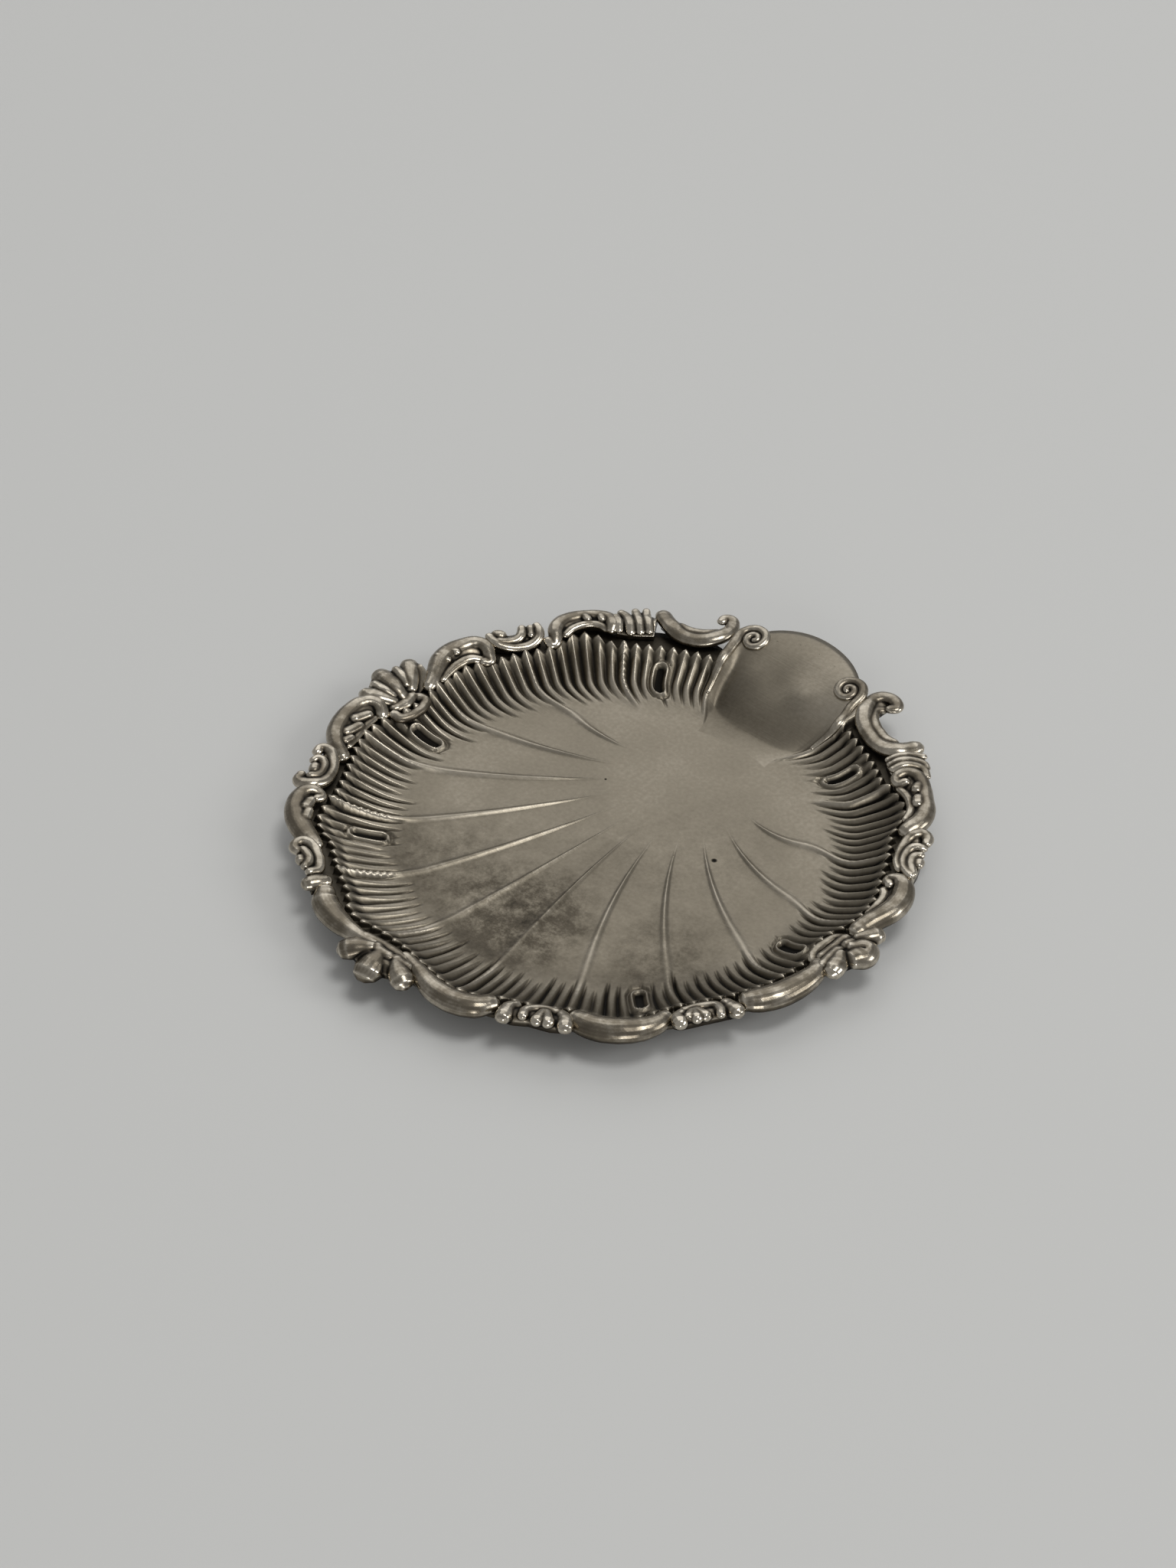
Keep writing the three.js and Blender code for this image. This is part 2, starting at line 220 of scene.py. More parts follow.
class Column:
    def __init__(self, index):
        half, flat = b["tabColumns"], b["tabAngle"]
        index %= columnCount
        if index <= half:
            degrees = flat * index / half
        elif index >= columnCount - half:
            degrees = 360 - flat * (columnCount - index) / half
        else:
            degrees = flat + (index - half) * columnAngle
        self.degrees = degrees - 360 if degrees > 180 else degrees
        self.side = 1 if self.degrees >= 0 else -1
        self.fromTab = index - half if self.side > 0 else columnCount - half - index  # under 0 on the tab
        self.onTab = self.fromTab < 0
        wave = abs(math.cos(math.pi * self.fromTab / b["fluteColumns"]))
        self.flute = 0.3 * wave + 0.7 * wave ** 2  # round backs, narrower valleys
        number = self.fromTab / b["fluteColumns"]
        self.tooth = 1 - 2 * abs(number - round(number))
        valley = Vector((2.7 * math.floor(number) + 0.4, 5.3 * self.side, 0.4))
        self.stray = noise.noise(valley)  # no two valleys quite alike
        self.panel = round(self.fromTab / columnsPerPanel)
        share = self.fromTab / columnsPerPanel
        self.scallop = abs(2 * (share - math.floor(share)) - 1) ** 3  # panels sag between the ribs
        self.ribOffset = abs(self.fromTab - self.panel * columnsPerPanel) * math.radians(columnAngle)
        twisted = self.side < 0 and self.panel in b["ropeRibs"]
        self.rope = b["ropeTwist"] if twisted else b["plainTwist"]
        self.crest = b["ropeCrest"] if twisted else b["ribCrest"]
        drift = b["edgeDrift"] * math.sin(math.radians(self.degrees))
        self.edge = b["edgeRadius"] - drift + edgeLift(self.degrees)
        self.flange = max(b["flangeRadius"] - 2 * drift, self.edge + b["flangeHold"])
        if self.side < 0:
            away = abs(self.degrees)
            self.flange += b["leftHold"] * ease(flat, flat + 5, away) * (1 - ease(44, 60, away))
        swing = math.cos(math.radians(self.degrees) / 2) ** 2 * min(1, abs(self.degrees) / b["leanFrom"])
        self.lean = self.side * b["ribLean"] * swing
        self.outer = around(b["floorRadius"], self.degrees - self.lean, b["sheet"])
        centre = Vector((0, b["plainOffset"], b["sheet"]))
        away = self.outer - centre
        self.inner = centre + away * min(1, b["plainRadius"] / away.length, 0.9)
        away.normalize()
        fade = min(1, (180 - abs(self.degrees)) / 25) * min(1, abs(self.degrees) / 60)
        bow = b["ribBow"][self.side > 0] * self.side * fade
        self.knee = (self.outer + self.inner) / 2 + Vector((away.y, -away.x, 0)) * bow
        skewed = self.degrees + b["tabSkew"]
        reach = clamp(1 - (skewed / (flat + math.copysign(b["tabSkew"], skewed))) ** 2)
        self.outline = mix(b["flangeRadius"], tabTip + b["tabTipMargin"], reach ** b["tabShoulder"])


def wallHeight(radius, edge):
    share = clamp((radius - b["floorRadius"]) / (edge - b["floorRadius"]))
    return b["sheet"] + (b["edgeHeight"] - b["sheet"]) * share ** b["wallCurve"]


def tabHeight(radius, degrees):
    crease = b["creaseRadius"] + b["creaseRise"] * (abs(degrees) / b["tabAngle"]) ** 3
    share = clamp((radius - crease) / (tabTip - crease))
    spot = around(radius, degrees)
    swell = sum(h * hump(math.hypot(spot.x - x, spot.y - y), reach) for x, y, reach, h in b["tabSwells"])
    rise = b["tabTipHeight"] - b["sheet"]
    return b["sheet"] + rise * math.sin(share * math.pi / 2) ** b["tabCurve"] + swell * ease(0, 0.2, share)


def sideStrap(radius):
    # the rib beside the tab climbs on past the fluted edge
    foot = wallHeight(radius, b["edgeRadius"]) + b["ribHeight"]
    return mix(foot, b["strapTop"], ease(b["edgeRadius"] - 6, b["flangeRadius"] + 6, radius))


def tabSurface(radius, degrees):
    share = abs(degrees) / b["tabAngle"]
    return mix(tabHeight(radius, degrees), sideStrap(radius), ease(b["strapFrom"], 1.0, share))


def slotRelief(column, radius):
    nearest = 9.0
    for panel, flute, inner, outer in b["slots"]:
        middle = panel * columnsPerPanel + flute * b["fluteColumns"]
        across = (column.fromTab - middle) * math.radians(columnAngle) * radius
        nearest = min(nearest, math.hypot(across, radius - max(inner, min(outer, radius))))
    loop = slotLoop
    hold = 1 - ease(*loop["clear"], nearest)
    ring = hump(nearest - loop["ringAt"], loop["ringWidth"])
    pit = loop["pit"] * (1 - ease(*loop["pitEdge"], nearest))
    return hold, loop["bed"] + loop["ringHeight"] * ring - pit, ring, 1 - ease(*loop["darkEdge"], nearest)


def floorPoint(column, share):
    bend = 2 * share * (1 - share)
    point = column.inner * (1 - share) ** 2 + column.knee * bend + column.outer * share ** 2
    fade = ease(0.0, 0.5, share) if column.panel > 1 else 0.0  # the ribs beside the tab stay on the wall
    width = mix(0.6, 1, share) * b["ribWidth"] / b["floorRadius"]
    ridge = 0.0 if column.onTab else hump(column.ribOffset, width) * fade
    if not column.onTab:
        point.z += b["ribHeight"] * ridge + b["panelSag"] * column.scallop * fade
    # lighter rib crests: wear and a painted highlight
    return point, 0.2 - 0.13 * ridge


def wallPath(column, radius):
    # a smooth run from the floor line into the straight flute
    straight = b["straightFrom"]
    if radius >= straight:
        return around(radius, column.degrees)
    share = (radius - b["floorRadius"]) / (straight - b["floorRadius"])
    length = 1.1 * (straight - b["floorRadius"])
    leave = (column.outer - column.knee).normalized() * length
    arrive = around(1, column.degrees) * length
    finish = around(straight, column.degrees)
    start = Vector((column.outer.x, column.outer.y, 0))
    a, c = share ** 2, share ** 3
    return (start * (2 * c - 3 * a + 1) + Vector((leave.x, leave.y, 0)) * (c - 2 * a + share)
            + finish * (3 * a - 2 * c) + arrive * (c - a))


def wallPoint(column, share):
    tip = b["tipReach"] * (column.tooth - 0.5) * ease(0.75, 1, share)
    point = wallPath(column, mix(b["floorRadius"], column.edge + tip, share))
    radius = point.length
    run = ease(b["fluteStart"], b["fluteFull"], radius + b["fluteStray"] * column.stray)
    shape, paintedLightAndTarnish = fluteShape, wallPaintedLightAndTarnish
    widest = mix(shape["backWide"], shape["frontWide"], ease(*shape["frontRun"], -point.y))
    power = mix(shape["sharp"], widest, ease(*shape["widen"], radius))  # fine points that widen outward
    groove = (1 - column.flute) ** power * run
    groove = mix(groove, 1 - column.tooth, ease(*shape["toothed"], radius))
    groove *= 1 + shape["strayDepth"] * column.stray
    depth = b["fluteDepth"] * mix(*shape["depths"], ease(*shape["deepen"], radius))
    depth *= mix(1, shape["edgeDepth"], ease(0.85, 1, share))
    hold, relief, ring, dark = slotRelief(column, radius)
    rope = column.rope * math.sin(2 * math.pi * radius / b["ropePitch"]) * ease(*shape["ropeStart"], radius)
    ribFade = ease(*shape["ribStart"], radius) if column.panel < 2 else 1
    ridge = hump(column.ribOffset * radius, b["ribWidth"]) * ribFade
    rim = hump((1 - share) * b["wallRun"] - 0.5, 0.6)
    point.z = wallHeight(radius, column.edge) + mix(-depth * groove, relief, hold)
    point.z += ridge * (mix(b["ribHeight"], column.crest, ease(*shape["ribRise"], radius)) + rope)
    point.z += b["panelSag"] * column.scallop * (1 - run) * ribFade + 0.1 * rim
    # darker where the front flutes meet the floor, and painted shade on the flutes of the right side
    frontFoot = ease(0, 60, -point.y) * hump(radius - paintedLightAndTarnish["footAt"], paintedLightAndTarnish["footReach"])
    shade = paintedLightAndTarnish["frontFoot"] * frontFoot + paintedLightAndTarnish["right"] * run * ease(0, 60, point.x)
    tarnish = paintedLightAndTarnish["base"] + shade - paintedLightAndTarnish["fluted"] * run + paintedLightAndTarnish["groove"] * groove ** 1.6
    # ribs and the fluted rim are lighter: wear on the crests and a painted highlight
    tarnish -= paintedLightAndTarnish["rib"] * ridge + paintedLightAndTarnish["rim"] * rim
    slotTarnish = paintedLightAndTarnish["slotBed"] - paintedLightAndTarnish["slotRing"] * ring + paintedLightAndTarnish["slotPit"] * dark
    return point, mix(tarnish, slotTarnish, hold)


def lipPoint(column, out, drop):
    edge, _ = wallPoint(column, 1.0)
    start = math.hypot(edge.x, edge.y)
    if drop <= 1:
        height, radius = mix(edge.z, b["channelHeight"], drop), start + out
    else:
        height = mix(b["channelHeight"], b["flangeHeight"], drop - 1)
        radius = mix(column.edge + b["channelWidth"], column.flange, out)
    strap = 1 - clamp(column.fromTab / 2)
    height = mix(height, sideStrap(radius) - 0.3, strap)
    # darker down into the channel below the fluted edge: painted shade
    return around(radius, column.degrees, height), mix(0.25 + 0.35 * min(1, drop), 0.2, strap)


# rings of the sheet from the middle of the floor out over the flange and back below
topRings = [("floor", s / 8) for s in range(8)]
topRings += [("wall", s / 40) for s in range(41)]
topRings += [("lip", (0.35, 0.15)), ("lip", (0.65, 0.5)), ("lip", (0.9, 0.85)), ("lip", (1.3, 1.0))]
topRings += [("lip", (0.0, 1.1)), ("lip", (0.25, 1.8)), ("lip", (0.6, 2.0)), ("lip", (1.0, 2.0))]
underRings = [("lip", (1.0, 2.0)), ("lip", (0.25, 1.8)), ("lip", (1.1, 1.0))]
underRings += [("wall", s / 8) for s in range(8, -1, -1)] + [("floor", 0.5), ("floor", 0.0)]


def sheetPoint(column, kind, place):
    if kind == "floor":
        return floorPoint(column, place)
    point, tarnish = wallPoint(column, place) if kind == "wall" else lipPoint(column, *place)
    if column.onTab:
        radius = math.hypot(point.x, point.y)
        degrees = math.degrees(math.atan2(point.x, point.y))
        spread = (column.outline - b["floorRadius"]) / (b["flangeRadius"] - b["floorRadius"])
        radius = b["floorRadius"] + (radius - b["floorRadius"]) * spread
        height = tabSurface(radius, degrees)
        if radius > column.outline - b["tabRim"]:
            height -= 0.5 * ease(0.0, b["tabRim"], radius - column.outline + b["tabRim"])
        crease = b["creaseRadius"] + b["creaseRise"] * (abs(degrees) / b["tabAngle"]) ** 3
        point = around(radius, degrees, height)
        # painted shadow band just past the crease, and painted shade darkening towards the left of the tab
        tarnish = 0.2 + 0.14 * hump(radius - crease - 5, 8) - 0.004 * point.x
    return point, tarnish


def buildBody(material):
    bm = bmesh.new()
    step = 0.01
    rings = topRings + underRings
    chain = [bm.verts.new((0, 1 + step * i, 0)) for i in range(len(rings))]
    edges = [bm.edges.new(pair) for pair in zip(chain, chain[1:])]
    bmesh.ops.spin(bm, geom=chain + edges, cent=(0, 0, 0), axis=(0, 0, -1), angle=2 * math.pi,
                   steps=columnCount, use_merge=True)
    columns = [Column(i) for i in range(columnCount)]
    tarnish = []
    bm.verts.ensure_lookup_table()
    for vert in bm.verts:
        turn = math.atan2(vert.co.x, vert.co.y) / (2 * math.pi)
        column = columns[round(turn * columnCount) % columnCount]
        ring = round((math.hypot(vert.co.x, vert.co.y) - 1) / step)
        kind, place = rings[ring]
        vert.co, shade = sheetPoint(column, kind, place)
        if ring >= len(topRings):
            vert.co.z = max(0.0, vert.co.z - b["sheet"])
            shade = 0.25
        tarnish.append(shade)
    bmesh.ops.holes_fill(bm, edges=[e for e in bm.edges if e.is_boundary], sides=0)
    bmesh.ops.recalc_face_normals(bm, faces=bm.faces)
    mesh = newMesh("dishBody", bm)
    writeTarnishAndPaintedLight(mesh, tarnish)
    print("dish body:", len(mesh.vertices), "points")
    return placePiece("dishBody", mesh, material, "dish_body")


# border castings: each stroke runs through (degrees from the tab's middle, millimetres out, half width)
borderBase = 89
crest = [(-2, 10.6), (3, 11.4), (7, 13.0), (11, 14.2), (14, 13.9), (18, 13.3), (24, 13.8)]
crestShift = {"right": 0, "left": 2.2, "end": 1.5}  # the left castings sit further out
castingFinish = {"voxel": 0.24, "smoothing": 8, "spread": 0.6, "webDrop": 0.55, "webFoot": 0.6,
                 "skirtDrop": 0.4, "cavityReach": 34, "uneven": 0.06, "unevenPitch": 3.2,
                 "footGrime": 0.45, "footRise": 1.8}

castings = {}
castings["right_open_scroll"] = {
    "flat": 0.6, "drop": 1.5,
    "web": [(15.2, 18, 22), (16.2, 14, 22.8), (17.6, 11.4, 22.4), (18.5, 10, 14.5), (21, 7, 11.5),
            (24, 6, 11), (28, 6.5, 11), (30, 8, 16), (31.6, 10, 17)],
    "bands": [
        [(19.0, 20.4, 1.4), (19.3, 22.4, 1.6), (17.9, 24.0, 1.8), (16.2, 23.5, 2.0), (15.1, 21.2, 2.2),
         (15.0, 18.0, 2.3), (15.8, 14.8, 2.5), (17.4, 11.6, 2.6), (19.9, 8.9, 2.7), (23.0, 7.8, 2.7),
         (26.2, 7.8, 2.7), (28.6, 9.4, 2.8), (29.9, 12.5, 2.8), (30.1, 16.0, 2.8), (30.0, 18.6, 2.7)],
    ],
    "lips": [
        [(18.2, 18.6, 1.0), (17.8, 16.2, 1.2), (19.0, 13.4, 1.4), (21.3, 11.4, 1.5), (24.0, 10.8, 1.5),
         (26.4, 11.2, 1.4), (27.8, 12.8, 1.1)],
    ],
}
castings["right_fan_collar"] = {
    "flat": 0.6, "drop": 1.1,
    "web": [(31.2, 7, 19), (33, 6.4, 19.8), (35.5, 6.4, 18.8), (37, 9, 18), (39.5, 15.4, 17.6)],
    "bands": [
        [(32.3, 7.4, 0.9), (32.3, 11.5, 1.0), (32.6, 16.0, 1.0), (33.3, 19.0, 0.9)],
        [(33.7, 7.2, 0.9), (33.6, 11.0, 1.1), (34.0, 15.4, 1.1), (35.1, 18.0, 1.0), (36.4, 18.3, 0.8)],
        [(35.2, 7.2, 0.9), (35.0, 10.6, 1.1), (35.4, 14.4, 1.1), (36.6, 17.0, 1.0), (38.8, 17.2, 0.8)],
    ],
}
castings["right_first_scroll"] = {
    "flat": 0.68, "drop": 2.3,
    "web": [(36.8, 8, 13), (38, 7, 15), (41, 6.8, 15.5), (45, 9, 15.5), (48, 8.6, 15), (51, 6.6, 13),
            (54, 5.4, 8.5)],
    "bands": [
        [(39.6, 9.4, 1.2), (39.5, 7.5, 1.5), (38.0, 7.2, 1.7), (36.9, 9.6, 1.8), (37.3, 12.8, 2.0),
         (39.0, 14.7, 2.1), (41.6, 14.9, 2.1), (44.6, 14.4, 2.4), (47.6, 14.0, 2.7), (50.2, 12.4, 2.9),
         (52.0, 9.7, 3.0), (53.2, 7.5, 2.7)],
        [(41.2, 13.2, 1.4), (42.2, 12.4, 1.6)],
        [(44.8, 12.0, 1.5), (46.2, 11.6, 1.6)],
    ],
    "lips": [[(40.8, 7.2, 0.9), (43.0, 8.6, 1.0), (45.5, 9.3, 1.0), (48.0, 8.8, 1.0),
              (50.0, 7.2, 0.9)]],
}
castings["right_first_wave"] = {
    "flat": 0.68, "drop": 1.8,
    "web": [(54.8, 8, 13), (57, 6, 13.4), (61, 5.2, 13.2), (65, 6, 13), (67, 9, 12.4)],
    "bands": [
        [(57.5, 14.0, 1.1), (56.0, 14.0, 1.7), (54.9, 12.6, 1.9), (55.0, 10.6, 1.7), (56.0, 8.4, 1.5),
         (57.8, 6.8, 1.3), (60.2, 5.8, 1.2), (62.6, 5.6, 1.1), (65.0, 6.8, 1.0)],
        [(59.0, 13.0, 1.1), (58.8, 10.8, 1.3), (59.7, 8.8, 1.4), (61.7, 7.8, 1.4), (64.0, 8.1, 1.3),
         (66.0, 9.9, 1.1), (66.9, 11.2, 0.9)],
        [(61.0, 12.6, 1.0), (61.6, 10.9, 1.2), (63.3, 10.3, 1.2), (65.2, 11.0, 1.1), (66.4, 11.9, 0.9)],
        [(62.8, 12.7, 1.3), (63.6, 12.7, 1.2)],
    ],
}
castings["right_second_scroll"] = {
    "flat": 0.72, "drop": 2.2,
    "web": [(67.2, 5.6, 9), (69, 5, 12), (72, 5.4, 13), (75, 5.4, 13.4), (78, 4.6, 12.4),
            (81, 3.8, 8.5), (84, 3.4, 7)],
    "bands": [
        [(69.5, 5.7, 1.3), (68.3, 5.0, 1.7), (67.7, 6.9, 2.0), (68.7, 9.6, 2.6), (71.2, 11.2, 3.2),
         (74.2, 11.4, 3.5), (77.0, 10.2, 3.5), (79.6, 7.9, 3.3), (82.0, 6.1, 3.3), (83.8, 5.5, 3.0)],
    ],
    "lips": [[(71.0, 4.6, 1.1), (72.8, 5.6, 1.0), (75.6, 5.3, 1.0), (78.5, 4.4, 0.9)]],
}
castings["right_side_shell"] = {
    "flat": 0.72, "drop": 2.0, "spread": 0.95,
    "web": [(83, 7, 11), (86, 4, 13), (90, 3.8, 14.5), (94, 4, 12.5), (97, 4.6, 10.5)],
    "bands": [
        [(86.4, 8.6, 1.4), (85.0, 10.8, 2.2), (84.0, 11.9, 2.5)],
        [(89.2, 9.4, 1.7), (87.9, 12.8, 3.2), (89.2, 13.9, 3.5), (90.6, 12.9, 3.2)],
        [(92.4, 8.6, 1.4), (94.2, 10.4, 2.5), (95.9, 11.5, 2.6)],
        [(88.6, 7.9, 1.5), (89.4, 7.6, 1.5)],
        [(91.6, 6.8, 1.4), (94.4, 7.4, 1.5), (96.6, 8.2, 1.3)],
        [(87.6, 4.6, 1.2), (91.0, 4.6, 1.3), (94.6, 4.6, 1.2)],
    ],
    "lips": [
        [(87.5, 3.6, 1.0), (88.2, 1.6, 1.0), (90.1, 0.5, 1.0), (92.4, 0.2, 1.0), (94.5, 0.9, 1.0),
         (95.9, 2.6, 1.0)],
    ],
    "lipDrop": 0.2,
}
castings["right_third_scroll"] = {
    "flat": 0.74, "drop": 1.6,
    "web": [(97, 5, 8), (99, 5.4, 10.5), (102, 4.6, 11.4), (106, 4.8, 11.8), (110, 4.2, 11.2),
            (113.4, 3.8, 9)],
    "bands": [
        [(96.7, 5.6, 1.8), (98.3, 7.8, 2.7), (100.6, 8.6, 3.4), (104.0, 8.8, 4.0), (108.0, 8.6, 4.2),
         (111.0, 7.5, 4.1), (112.5, 6.7, 3.7)],
    ],
}
castings["right_second_wave"] = {
    "flat": 0.78, "drop": 2.0,
    "web": [(115.4, 5, 11), (119, 4, 10.5), (123, 3.8, 10.5), (127, 5, 11), (128.2, 6.6, 10)],
    "bands": [
        [(117.3, 5.8, 1.8), (117.0, 8.4, 2.3), (116.6, 10.8, 2.2)],
        [(119.7, 11.2, 1.0), (119.2, 8.2, 1.2), (119.5, 5.7, 1.3), (121.0, 4.4, 1.3),
         (123.4, 4.2, 1.2), (125.6, 5.2, 1.2)],
        [(126.2, 6.0, 1.2), (127.2, 8.2, 1.8), (127.1, 10.7, 2.0)],
        [(123.4, 6.4, 1.3), (122.3, 9.8, 1.5)],
        [(123.7, 6.6, 1.3), (124.0, 10.1, 1.5)],
        [(124.2, 6.6, 1.2), (125.3, 9.2, 1.2)],
    ],
}
castings["right_fourth_scroll"] = {
    "flat": 0.74, "drop": 1.6,
    "web": [(129, 5.4, 8), (131, 6.2, 11), (134, 7.4, 13), (138, 7.4, 13.6), (142, 6.2, 12.4),
            (145.6, 4.4, 8.4)],
    "bands": [
        [(129.4, 6.4, 2.2), (131.2, 9.0, 3.0), (134.0, 10.6, 3.7), (137.5, 10.8, 4.1),
         (141.0, 9.8, 4.2), (143.8, 7.8, 4.0), (145.3, 6.4, 3.5)],
    ],
}
castings["right_third_wave"] = {
    "flat": 0.78, "drop": 2.0,
    "web": [(147, 5.6, 11.5), (150, 4.6, 12), (154, 4.2, 11), (157, 4.6, 12), (160, 5.8, 11)],
    "bands": [
        [(148.5, 5.8, 1.4), (147.6, 8.4, 2.0), (147.3, 11.7, 2.1)],
        [(151.4, 6.6, 1.4), (150.4, 11.2, 1.6)],
        [(151.8, 6.6, 1.4), (152.4, 11.2, 1.6)],
        [(149.4, 5.2, 1.1), (151.5, 4.4, 1.2), (153.8, 5.0, 1.3), (155.1, 7.2, 1.3),
         (155.1, 10.4, 1.1)],
        [(157.5, 5.0, 1.3), (158.4, 7.4, 1.9), (158.4, 11.6, 2.3)],
    ],
}
castings["right_fifth_scroll"] = {
    "flat": 0.74, "drop": 1.6,
    "web": [(161.4, 7, 9.5), (164, 8, 12.6), (168, 8.6, 13.8), (172, 8, 13), (175.5, 6.4, 11),
            (179, 4.8, 7.6)],
    "bands": [
        [(162.3, 7.4, 3.0), (164.4, 10.2, 3.7), (168.0, 11.5, 3.8), (171.6, 11.0, 3.7),
         (174.8, 9.3, 3.2), (177.6, 7.2, 2.5), (180.4, 5.6, 1.8), (182.8, 4.8, 1.3)],
    ],
}
castings["end_shell"] = {
    "flat": 0.72, "drop": 2.0, "spread": 0.95,
    "web": [(178, 9.6, 13), (181, 7, 14), (185, 6, 17), (188.5, 7, 17), (192, 9, 15.5)],
    "bands": [
        [(181.8, 10.2, 1.7), (180.1, 12.2, 2.7), (178.7, 13.4, 3.1)],
        [(186.0, 10.4, 2.0), (185.5, 13.8, 3.5), (185.1, 16.6, 4.2)],
        [(188.6, 11.2, 1.8), (190.2, 13.8, 2.9), (191.1, 15.9, 3.3)],
        [(180.2, 8.8, 1.5), (181.6, 9.2, 1.7), (183.0, 8.6, 1.5)],
        [(184.4, 9.6, 1.4), (186.4, 10.2, 1.6), (188.0, 9.4, 1.4)],
        [(182.0, 6.6, 1.4), (185.5, 6.6, 1.7), (189.0, 8.0, 1.6), (191.4, 9.6, 1.3)],
    ],
}
castings["left_open_scroll"] = {
    "flat": 0.6, "drop": 1.5,
    "web": [(19, 14, 17), (20.5, 11, 14.5), (23, 8.6, 12.4), (25.5, 8, 12), (28, 9.4, 13),
            (30, 12, 16), (32, 16, 19)],
    "bands": [
        [(20.8, 21.8, 1.4), (20.5, 23.2, 1.6), (19.4, 23.5, 1.8), (18.7, 21.4, 2.0), (18.5, 18.2, 2.2),
         (18.9, 15.0, 2.5), (20.3, 12.2, 2.7), (22.5, 10.3, 2.8), (25.0, 9.8, 2.8), (27.5, 10.8, 2.8),
         (29.5, 13.4, 2.7), (30.9, 16.8, 2.6), (31.8, 20.0, 2.5)],
    ],
    "lips": [[(20.6, 15.0, 0.9), (22.0, 13.6, 1.2), (24.0, 12.8, 1.4), (26.0, 13.0, 1.3),
              (27.8, 14.6, 1.0)]],
}
castings["left_fan_collar"] = {
    "flat": 0.6, "drop": 1.1,
    "web": [(32.8, 9, 19), (35, 8.8, 20.6), (38, 8.6, 19.4), (40.6, 9.6, 17)],
    "bands": [
        [(33.8, 9.6, 0.9), (34.3, 13.5, 1.1), (34.9, 18.0, 1.1), (35.1, 20.9, 0.9)],
        [(35.6, 9.2, 1.0), (36.1, 13.5, 1.2), (36.7, 17.6, 1.2), (37.1, 20.4, 1.0)],
        [(37.6, 9.0, 1.2), (38.0, 13.0, 1.4), (38.8, 17.0, 1.3), (39.7, 19.2, 1.1)],
        [(40.0, 9.6, 0.9), (40.2, 13.0, 1.0), (40.8, 16.4, 1.0)],
    ],
}
castings["left_first_scroll"] = {
    "flat": 0.68, "drop": 2.4,
    "web": [(41.4, 10.5, 17), (43, 12.4, 19), (46, 13.6, 19.6), (49, 12.4, 19), (51.5, 9, 16.6),
            (54.4, 6.4, 9.5)],
    "bands": [
        [(55.0, 7.6, 1.3), (54.1, 6.3, 1.8), (53.3, 8.6, 2.0), (52.9, 12.2, 2.2), (51.6, 15.6, 2.4),
         (49.4, 17.9, 2.5), (46.6, 18.6, 2.4), (43.8, 18.2, 2.4), (42.0, 16.2, 2.3), (41.4, 13.0, 2.1),
         (41.5, 10.6, 1.7)],
        [(46.6, 17.4, 1.2), (46.2, 15.4, 1.0)],
        [(43.6, 17.2, 1.2), (43.4, 15.0, 1.0)],
    ],
    "lips": [[(51.2, 9.4, 0.9), (49.4, 11.8, 1.0), (46.6, 13.2, 1.0), (44.0, 12.6, 1.0),
              (42.6, 10.8, 0.9)]],
}
castings["left_first_wave"] = {
    "flat": 0.68, "drop": 1.9,
    "web": [(56.4, 8.6, 13.6), (58, 7.4, 14), (61, 6.6, 14), (64, 7.4, 14.4), (66.2, 10, 14.2)],
    "bands": [
        [(64.6, 14.6, 1.8), (64.1, 13.8, 1.9)],
        [(66.3, 14.4, 1.0), (65.9, 11.6, 1.2), (64.4, 8.9, 1.4), (61.8, 7.2, 1.5), (59.0, 7.2, 1.5),
         (57.0, 9.2, 1.5), (56.4, 12.0, 1.4), (56.5, 14.6, 1.0)],
        [(65.0, 11.2, 1.1), (63.2, 10.1, 1.3), (61.3, 10.2, 1.3), (60.0, 12.0, 1.3), (59.5, 14.6, 1.0)],
        [(58.2, 10.6, 0.8), (57.9, 13.8, 0.8)],
    ],
}
castings["left_second_scroll"] = {
    "flat": 0.72, "drop": 2.2,
    "web": [(67.4, 7, 13.5), (69, 8, 16), (72, 9, 16.8), (75, 8.6, 16.4), (78, 7.4, 14.6), (81, 6, 11),
            (83.6, 5.2, 7.6)],
    "bands": [
        [(70.0, 5.5, 1.2), (68.9, 5.0, 1.7), (68.1, 7.6, 1.9), (68.0, 11.2, 2.2), (69.2, 14.0, 2.8),
         (71.6, 15.2, 3.2), (74.6, 14.9, 3.5), (77.6, 12.8, 3.3), (80.0, 9.8, 2.8), (82.2, 7.0, 2.3),
         (83.8, 5.5, 2.1)],
        [(74.2, 12.2, 1.0), (75.4, 15.6, 1.2)],
        [(76.8, 10.8, 1.0), (77.8, 13.6, 1.2)],
    ],
    "lips": [[(70.4, 6.8, 1.3), (72.2, 8.3, 1.5), (75.0, 8.1, 1.5), (78.0, 6.8, 1.3),
              (80.4, 5.2, 1.0)]],
    "lipDrop": 0.4,
}
